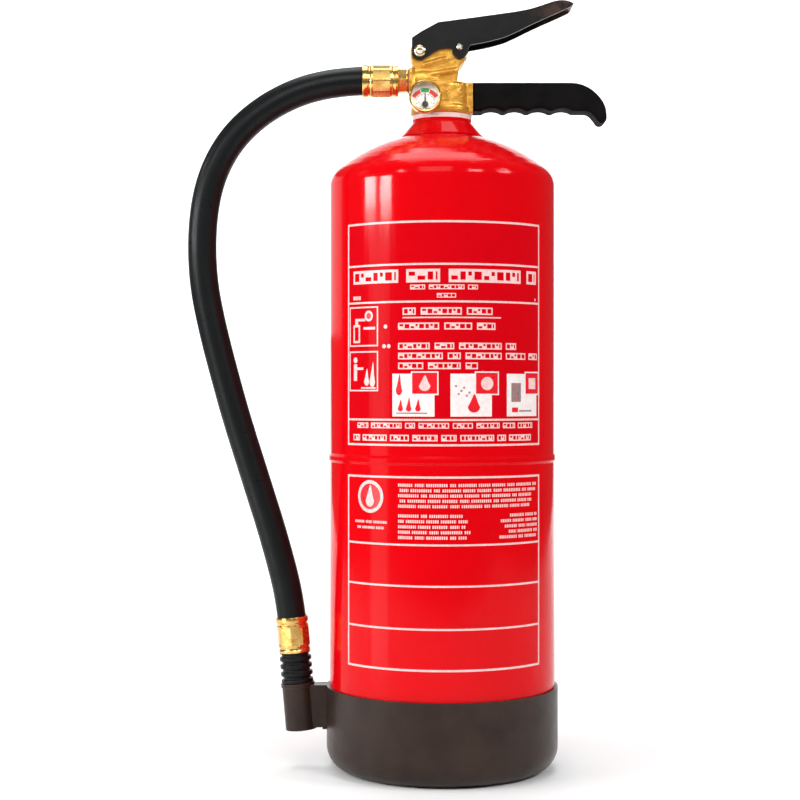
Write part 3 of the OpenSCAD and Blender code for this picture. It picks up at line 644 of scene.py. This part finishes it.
def rib_pair(name, start, end, reach, thick):
    """Round-edged ribs on the front and the back of the valve, between two points in x and z."""
    run = Vector((end[0] - start[0], 0, end[1] - start[1]))
    inner = 0.0080
    ribs = []
    for side in (-1, 1):
        rib = block(name, (run.length + 2 * thick, reach - inner, 2 * thick),
                    (0, side * (reach + inner) / 2, 0))
        modify(rib, "BEVEL", width=thick * 0.8, segments=4, limit_method="ANGLE",
               angle_limit=60 * DEG)
        ribs.append(rib)
    return place(join(ribs[0], ribs[1:]), rotation=(0, math.atan2(-run.z, run.x), 0),
                 location=((start[0] + end[0]) / 2, 0, (start[1] + end[1]) / 2))


def make_valve():
    body = from_node("forged_valve", "valve_body")
    boss = turned("outlet_boss", [(0.0070, -0.0195), (0.0098, -0.0195), (0.0108, -0.0185),
                                  (0.0112, -0.0150), (0.0112, -0.0090), (0.0102, -0.0030),
                                  (0.0070, 0.0020), (0.0070, -0.0195)], 72)
    place(boss, rotation=(0, 90 * DEG, 0), location=(0, 0, 0.0235))
    band = turned("hub_band", [(0.0185, 0.0004), (0.0204, 0.0004), (0.0209, 0.0010),
                               (0.0209, 0.0046), (0.0201, 0.0056), (0.0185, 0.0058),
                               (0.0185, 0.0004)], 72)
    cut_away(band, block("trim", (0.01, 0.05, 0.02), (0.0251, 0, 0.003)))
    extras = [
        boss, band,
        rib_pair("upper_rib", (-0.0115, 0.0330), (0.0015, 0.0366), 0.0107, 0.0017),
        rib_pair("middle_rib", (-0.0090, 0.0263), (0.0076, 0.0290), 0.0109, 0.0018),
        rib_pair("waist_rib", (0.0085, 0.0225), (0.0095, 0.0300), 0.0103, 0.0015),
        rib_pair("shelf_rib", (-0.0060, 0.0205), (0.0125, 0.0195), 0.0148, 0.0016),
    ]
    for extra in extras:
        place(extra, location=(0, 0, VALVE_Z))
    for extra in extras:
        cut_away(body, extra, "UNION")
    modify(body, "REMESH", mode="VOXEL", voxel_size=0.00042)
    modify(body, "SMOOTH", factor=0.5, iterations=6)
    take(body)
    bpy.ops.object.shade_smooth()
    return body


valve = make_valve()
mount(valve, "cylinder", forged_brass, ["valve_body"])


def make_spring():
    """The return spring, copied from the CAD piece and shaded smooth."""
    spring = from_node("return_spring", "valve_spring")
    take(spring)
    bpy.ops.object.shade_smooth()
    give(spring, bright_steel)
    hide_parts("valve_spring")
    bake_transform(spring)


make_spring()


def make_rivet():
    """Rivet with a low domed head on each side and a punched dimple."""
    half = 0.0122
    outline = [(0.0, half + 0.0012), (0.0008, half + 0.0013), (0.0012, half + 0.0016),
               (0.0026, half + 0.0015), (0.0035, half + 0.0011), (0.0040, half + 0.0004),
               (0.0040, half), (0.0030, half), (0.0030, 0.0)]
    outline += [(r, -z) for r, z in reversed(outline[:-1])]
    piece = turned("lever_rivet", outline, 48)
    place(piece, rotation=(90 * DEG, 0, 0), location=(PIVOT[0], 0, PIVOT[1]))
    return smooth(piece, 50)


mount(make_rivet(), "cylinder", rivet_metal, ["pivot_rivet"])


# ---------------------------------------------------------------- ferrules and outlet nut

def make_ferrule(name):
    """A crimped ferrule along +Z from its closed end: a ring at each end, eight pressed flats."""
    outer, mouth = 0.01085, 0.0240
    outline = [(0.0069, 0.0), (0.0098, 0.0), (0.0104, 0.0006), (0.0105, 0.0020), (0.0101, 0.0030),
               (0.0101, 0.0038), (0.0106, 0.0046), (0.0106, 0.0182), (0.0101, 0.0190),
               (0.0101, 0.0198), (0.0107, 0.0206), (outer, 0.0212), (outer, 0.0232),
               (0.0106, mouth), (0.0099, mouth), (0.0099, 0.0020), (0.0069, 0.0020),
               (0.0069, 0.0)]
    piece = turned(name, outline, 96)
    dies = []
    for i in range(8):
        die = block("die", (0.004, 0.0086, 0.0112), (0.0120, 0, 0.0114))
        dies.append(place(die, rotation=(0, 0, (i + 0.4) * 45 * DEG)))
    cut_away(piece, join(dies[0], dies[1:]))
    modify(piece, "BEVEL", width=0.00025, segments=2, limit_method="ANGLE", angle_limit=24 * DEG)
    return smooth(piece, 40)


upper_ferrule = make_ferrule("upper_crimp")
place(upper_ferrule, rotation=(0, -90 * DEG, 0), location=(-0.029, 0, OUTLET_Z))
mount(upper_ferrule, "cylinder", turned_brass, ["outlet_ferrule"])

lower_ferrule = make_ferrule("lower_crimp")
nozzle_up = Vector((-math.sin(CUP_TILT), 0, math.cos(CUP_TILT)))
place(lower_ferrule, rotation=(0, -CUP_TILT, 0),
      location=Vector((CUP[0], 0, CUP[1])) + nozzle_up * NOZZLE_LENGTH)
mount(lower_ferrule, "nozzle", turned_brass, ["nozzle_ferrule"])


def make_outlet_nut():
    """Hexagon of the outlet adaptor, with its edges turned down at both ends."""
    piece = rod("outlet_nut", 0.0087, 0.0052, (-0.0263, 0, OUTLET_Z), (0, 90 * DEG, 0), 6)
    modify(piece, "BEVEL", width=0.0005, segments=2, limit_method="ANGLE", angle_limit=50 * DEG)
    collar = turned("outlet_collar", [(0.0046, -0.0300), (0.0066, -0.0300), (0.0066, -0.0292),
                                      (0.0074, -0.0289), (0.0074, -0.0232), (0.0066, -0.0230),
                                      (0.0060, -0.0225), (0.0060, -0.0130), (0.0046, -0.0130),
                                      (0.0046, -0.0300)], 48)
    place(collar, rotation=(0, 90 * DEG, 0), location=(0, 0, OUTLET_Z))
    tail = turned("outlet_tail", [(0.0046, -0.0500), (0.0058, -0.0500), (0.0060, -0.0480),
                                  (0.0058, -0.0440), (0.0060, -0.0420), (0.0058, -0.0380),
                                  (0.0060, -0.0360), (0.0060, -0.0300), (0.0046, -0.0300),
                                  (0.0046, -0.0500)], 32)
    place(tail, rotation=(0, 90 * DEG, 0), location=(0, 0, OUTLET_Z))
    join(piece, [collar, tail])
    return smooth(piece, 35)


mount(make_outlet_nut(), "cylinder", turned_brass, ["outlet_adaptor"])


# ---------------------------------------------------------------- gauge

def on_gauge(piece, depth):
    """Stands a piece made flat in X and Y up on the dial, facing the front."""
    return place(piece, rotation=(90 * DEG, 0, 0), location=(GAUGE[0], -depth, GAUGE[1]))


def make_bezel():
    edge = 0.0107
    outline = [(0.0090, 0.0000), (0.0090, 0.0007), (0.0094, 0.0010), (0.0101, 0.0010),
               (0.0105, 0.0006), (edge, 0.0000), (edge, -0.0012), (0.01035, -0.0014),
               (0.01035, -0.0016), (0.0098, -0.0016), (0.0098, 0.0), (0.0090, 0.0)]
    return smooth(on_gauge(turned("gauge_rim", outline, 96), BEZEL_SEAT), 40)


mount(make_bezel(), "cylinder", turned_brass, ["gauge_bezel"])


def dial_band(name, start, end, inner, outer, material):
    """A printed band about the needle's pivot; angles run clockwise from straight up."""
    band = turned(name, [(inner, 0.0), (outer, 0.0)], 16, end - start, 90 - start)
    place(band, location=(0, -NEEDLE_DROP, 0))
    modify(band, "SOLIDIFY", thickness=INK_THICK, offset=0.0)
    mount(on_gauge(band, DIAL_FRONT), "cylinder", material)


dial_band("low_zone", -58, -20, 0.0076, 0.0103, dial_red)
dial_band("working_zone", -17, 16, 0.0080, 0.0107, dial_green)
dial_band("high_zone", 19, 57, 0.0076, 0.0103, dial_red)
dial_band("scale_line", -60, 60, 0.0068, 0.0070, dial_black)


def make_dial_marks():
    """Short scale strokes between the zones and a row of small dots at the foot of the dial."""
    strokes = []
    for turn in (-60, -40, -20, 0, 20, 40, 60):
        mark = block("stroke", (0.0003, 0.0012, 0.00004), (0, 0.0066, 0))
        place(mark, rotation=(0, 0, -turn * DEG))
        strokes.append(place(mark, location=(0, -NEEDLE_DROP, 0)))
    for x in (-0.0055, -0.0040, 0.0040, 0.0055):
        strokes.append(block("dot", (0.0008, 0.0005, 0.00004), (x, -0.0030 - abs(x) * 0.2, 0)))
    for x in (-0.0030, -0.0012, 0.0008, 0.0026):
        strokes.append(block("dot", (0.0013, 0.0004, 0.00004), (x, -0.0075, 0)))
    marks = join(strokes[0], strokes[1:])
    marks.name = "dial_marks"
    return on_gauge(marks, DIAL_FRONT)


mount(make_dial_marks(), "cylinder", dial_black)


# ---------------------------------------------------------------- printed label

class Print:
    """Ink laid flat, X along the wall and Z up in millimetres, then wrapped on the cylinder."""

    def __init__(self, name, height):
        clear_selection()
        bpy.ops.mesh.primitive_plane_add(size=0.001, location=(0, 0, 0.3))
        self.piece = settle(named(name))
        self.height = height
        edit(self.piece)
        bpy.ops.mesh.select_all(action="SELECT")
        bpy.ops.mesh.delete(type="VERT")

    def bar(self, left, right, low, high):
        middle = ((left + right) / 2 * MM, 0, (low + high) / 2 * MM)
        bpy.ops.mesh.select_all(action="DESELECT")
        bpy.ops.mesh.primitive_plane_add(size=MM, location=middle, rotation=(90 * DEG, 0, 0))
        bpy.ops.transform.resize(value=(right - left, 1, high - low), center_override=middle)

    def frame(self, left, right, low, high, width):
        self.bar(left, right, high - width, high)
        self.bar(left, right, low, low + width)
        self.bar(left, left + width, low + width, high - width)
        self.bar(right - width, right, low + width, high - width)

    def disc(self, x, z, radius, tall=1.0, tip=0.0, sides=20):
        bpy.ops.mesh.select_all(action="DESELECT")
        middle = (x * MM, 0, z * MM)
        bpy.ops.mesh.primitive_circle_add(vertices=sides, radius=radius * MM, fill_type="NGON",
                                          location=middle, rotation=(90 * DEG, 0, 0))
        bpy.ops.transform.resize(value=(1, 1, tall), center_override=middle)
        if tip:
            bpy.ops.object.mode_set(mode="OBJECT")
            for v in self.piece.data.vertices:
                if v.select and v.co.z > middle[2]:
                    share = (v.co.z - middle[2]) / (radius * tall * MM)
                    v.co.z += tip * MM * share ** 3
                    v.co.x += (middle[0] - v.co.x) * 0.45 * share + 0.08 * tip * MM * share ** 3
            bpy.ops.object.mode_set(mode="EDIT")

    def words(self, left, right, low, high, size, gap=0.5, start=0):
        """Rows of word-long strips, the large ones drawn as ladders; there are no letters."""
        x, word = left, start
        stroke = (high - low) * 0.19
        while x < right - size:
            parts = (5, 3, 7, 2, 6, 4)[word % 6]
            end = min(x + parts * (size + gap), right)
            if high - low < 2.5:
                while x < end:
                    self.bar(x, min(x + size * 0.62, end), low, high)
                    x += size * 0.62 + gap
            else:
                self.frame(x, end, low, high, stroke)
                last, rung, cell = x + stroke, x + (size + gap) * 0.8, word
                middle = (low + high) / 2
                while rung < end - size * 0.5:
                    self.bar(rung, rung + stroke, low + stroke, high - stroke)
                    if cell % 3 == 1:
                        self.bar(last, rung, low + stroke, middle)
                    elif cell % 4 == 2:
                        self.bar(last, rung, middle, high - stroke)
                    last = rung + stroke
                    rung += (size + gap) * (0.55, 0.9, 0.7)[cell % 3]
                    cell += 1
            x = end + size * 0.9
            word += 1

    def wrap(self, material):
        """Cuts the sheet into upright strips, bends it round the wall and thickens it."""
        strip, offset = 4 * MM, 0.1 * MM
        for step in range(-18, 19):
            bpy.ops.mesh.select_all(action="SELECT")
            bpy.ops.mesh.bisect(plane_co=(step * strip + offset, 0, 0), plane_no=(1, 0, 0))
        done()
        radius = CYLINDER_R + self.height
        for v in self.piece.data.vertices:
            turn = v.co.x / CYLINDER_R
            v.co.x, v.co.y = radius * math.sin(turn), -radius * math.cos(turn)
        tidy_mesh(self.piece)
        if sum(f.normal.dot(Vector((f.center.x, f.center.y, 0))) for f in
               self.piece.data.polygons) < 0:
            edit(self.piece)
            bpy.ops.mesh.select_all(action="SELECT")
            bpy.ops.mesh.flip_normals()
            done()
        modify(self.piece, "SOLIDIFY", thickness=INK_THICK, offset=-1.0)
        mount(self.piece, "cylinder", material)


def make_white_print():
    ink = Print("white_print", 0.00007)
    for low, high, rules in ((216.3, 357.8, (330.5, 307.0, 232.8)),
                             (75.0, 197.4, (154.3, 128.4, 101.4))):
        ink.frame(-72, 72, low, high, 1.3)
        for z in rules:
            ink.bar(-70.7, 70.7, z - 0.6, z + 0.6)
    ink.words(-66, 68, 319.0, 327.4, 6.0, 1.2)
    ink.words(-22, 23, 314.6, 317.6, 2.6, 0.6, 1)
    ink.words(-5, 7, 309.4, 312.2, 2.4, 0.6, 2)
    ink.words(-66, -59, 309.0, 311.4, 2.2, 0.5, 2)
    ink.bar(66.5, 67.5, 308.6, 310.2)
    ink.words(-27, 37, 298.7, 303.3, 3.6, 0.7, 3)
    ink.bar(-27, 37, 296.6, 297.4)
    ink.disc(-39, 291.6, 1.3)
    ink.words(-30, 33, 289.4, 293.8, 3.6, 0.8, 4)
    ink.disc(-40, 279.2, 1.3)
    ink.disc(-36.6, 279.2, 1.3)
    ink.words(-30, 55, 277.0, 281.2, 3.4, 0.7)
    ink.words(-30, 69, 270.8, 275.0, 3.4, 0.7, 2)
    ink.words(-30, 21, 264.6, 268.8, 3.4, 0.7, 5)
    ink.frame(-70, -44.5, 279.3, 304.6, 0.9)
    ink.frame(-70, -44.5, 250.8, 276.3, 0.9)
    ink.disc(-52.0, 298.6, 3.4)
    ink.bar(-56.5, -46.8, 290.0, 291.6)
    ink.frame(-66.0, -59.6, 281.6, 293.0, 1.3)
    ink.bar(-64.2, -61.4, 293.0, 297.0)
    ink.bar(-61.4, -55.0, 295.4, 297.0)
    ink.disc(-64.0, 270.6, 1.9)
    ink.bar(-65.6, -62.4, 257.4, 268.0)
    ink.bar(-62.4, -56.6, 264.4, 266.0)
    for x, tall, tip in ((-53.8, 1.2, 5.5), (-49.1, 1.6, 9.0)):
        ink.disc(x, 257.0, 2.2, tall, tip)
    ink.bar(-58.5, -46.5, 252.4, 253.4)
    ink.words(-62, 64, 227.4, 230.9, 2.6, 0.6, 1)
    ink.words(-66, 66, 219.4, 223.4, 2.6, 0.6, 3)
    ink.disc(-51, 184.0, 10.4, sides=36)
    ink.words(-64, -38, 167.2, 168.8, 1.3, 0.4)
    ink.words(-62, -40, 163.6, 165.2, 1.3, 0.4, 3)
    for row in range(5):
        low = 190.8 - row * 3.3
        ink.words(-30 + row % 2, 69 - row * 2, low, low + 1.9, 1.5, 0.45, row)
        low = 171.5 - row * 3.4
        ink.words(-30, 12 + (row * 5) % 9, low, low + 1.9, 1.5, 0.45, row + 2)
        ink.words(44 - (row * 7) % 10, 69, low, low + 1.9, 1.5, 0.45, row + 4)
    ink.wrap(white_ink)


def make_row_print():
    ink = Print("row_print", 0.00004)
    for low, high in ((330.5, 357.0), (307.0, 330.5), (232.8, 307.0), (216.6, 232.8)):
        ink.bar(-71.4, 71.4, low, high)
    ink.wrap(row_ink)


def make_tile_print():
    ink = Print("pale_tiles", 0.00007)
    for left, right, inner, outer in ((-34, -6.5, -21.5, -4.0), (3.5, 30.5, 19.0, 35.5),
                                      (41.5, 68.5, 56.5, 71.0)):
        ink.bar(left, inner, 234.9, 261.8)
        ink.bar(inner, right, 234.9, 248.4)
        ink.bar(inner, outer, 248.4, 263.2)
    ink.wrap(tile_ink)


def make_red_print():
    ink = Print("red_print", 0.00011)
    for left, right in ((-20.7, -4.8), (19.8, 34.7), (57.3, 70.3)):
        ink.bar(left, right, 249.2, 262.4)
    ink.disc(-29.5, 251.5, 2.2, 1.5, 7.0)
    for x, tall in ((-28.5, 3.5), (-23.0, 5.0), (-17.0, 4.0)):
        ink.disc(x, 240.0, 1.8, 1.1, tall)
    ink.disc(18.5, 241.0, 4.0, 0.9, 4.5)
    ink.bar(45.5, 50.5, 237.5, 240.5)
    ink.disc(-51, 184.0, 8.2, sides=36)
    ink.disc(-52.0, 298.6, 2.0)
    ink.wrap(red_ink)


def make_fine_print():
    ink = Print("grey_print", 0.00011)
    for i in range(6):
        ink.disc(7.0 + i * 1.7, 254.0 - (i * 5) % 7, 0.7)
    ink.bar(45.0, 53.0, 244.0, 256.0)
    ink.bar(51.5, 63.0, 237.8, 238.8)
    ink.bar(-31.5, -11.0, 236.6, 237.4)
    ink.wrap(grey_ink)


def make_symbols():
    ink = Print("white_symbols", 0.00015)
    ink.disc(-12.7, 254.2, 3.6, 0.9, 3.4)
    ink.disc(27.3, 255.6, 4.2)
    ink.bar(60.2, 67.2, 252.2, 259.2)
    ink.disc(-51, 181.6, 3.4, 1.2, 6.0)
    ink.wrap(white_ink)


make_row_print()
make_white_print()
make_tile_print()
make_red_print()
make_fine_print()
make_symbols()


# ---------------------------------------------------------------- floor and light

def make_studio():
    """A paper sheet that runs back under the object and curves up behind it."""
    length, front, height, curve = 4.5, -0.9, 4, 1.0
    clear_selection()
    bpy.ops.mesh.primitive_plane_add(size=length, location=(0, front + length / 2, 0))
    floor = named("studio_sheet")
    floor.scale.x = 0.6
    settle(floor)
    edit(floor, "EDGE")
    done()
    for e in floor.data.edges:
        a, b = (floor.data.vertices[i].co for i in e.vertices)
        e.select = min(a.y, b.y) > front + length / 2
    bpy.ops.object.mode_set(mode="EDIT")
    bpy.ops.mesh.extrude_region_move(TRANSFORM_OT_translate={"value": (0, 0, height)})
    done()
    modify(floor, "BEVEL", width=curve, segments=16, limit_method="ANGLE", angle_limit=60 * DEG)
    take(floor)
    bpy.ops.object.shade_smooth()
    sheet = finish_of("studio_paper", (0.93, 0.93, 0.93), (0.90, 0.90, 0.90), (0.7, 0.8),
                      tone=(3.0, 0.3), grain=(300.0, 0.00002))
    give(floor, sheet)


def softbox(name, at, aim, size, power):
    clear_selection()
    bpy.ops.object.light_add(type="AREA", location=at)
    lamp = bpy.context.object
    lamp.name = name
    lamp.data.shape = "RECTANGLE"
    lamp.data.size, lamp.data.size_y = size
    lamp.data.energy = power
    lamp.rotation_euler = (Vector(aim) - Vector(at)).to_track_quat("-Z", "Y").to_euler()


make_studio()
softbox("key_box", (-0.20, -1.36, 1.18), (0, 0, 0.25), (0.80, 0.80), 7.6)
softbox("high_fill", (0.88, -1.35, 1.2), (0, 0, 0.25), (0.42, 0.30), 10)
softbox("right_fill", (1.50, -0.66, 1.20), (0, 0, 0.30), (0.42, 0.36), 10.5)
softbox("top_box", (0.0, 0.3, 1.9), (0, 0.1, 0.0), (1.2, 1.2), 19)
softbox("left_strip", (-0.408, -0.212, 0.225), (0, 0, 0.225), (0.15, 0.43), 0.40)
softbox("window_pane_left", (-1.12, -0.28, 0.515), (0, 0, 0.40), (0.26, 0.06), 3.3)
softbox("window_pane_right", (-0.98, -0.62, 0.515), (0, 0, 0.40), (0.24, 0.06), 3.3)
softbox("back_strip", (-0.80, 1.02, 0.54), (0, 0, 0.54), (0.95, 0.42), 1.1)
softbox("ceiling_lamp_left", (-0.95, -1.00, 1.00), (0, 0, 0.38), (0.16, 0.16), 2.2)
softbox("ceiling_lamp_far", (-1.40, 0.05, 1.00), (0, 0, 0.38), (0.14, 0.14), 1.6)
softbox("sheet_light_left", (-1.6, 1.4, 1.6), (-0.6, 3.4, 0.9), (1.0, 1.0), 70)
softbox("sheet_light_right", (1.6, 1.4, 1.6), (0.6, 3.4, 0.9), (1.0, 1.0), 70)

world = bpy.data.worlds.new("white_room")
bpy.context.scene.world = world
world.use_nodes = True
sky = world.node_tree
room = sky.nodes["Background"]
room.inputs["Color"].default_value = (1, 1, 1, 1)
seen = sky.nodes.new("ShaderNodeMapRange")
sky.links.new(sky.nodes.new("ShaderNodeLightPath").outputs["Is Camera Ray"], seen.inputs["Value"])
seen.inputs["To Min"].default_value = 0.12
seen.inputs["To Max"].default_value = 0.95
sky.links.new(seen.outputs["Result"], room.inputs["Strength"])
bpy.context.scene.view_settings.view_transform = "Standard"
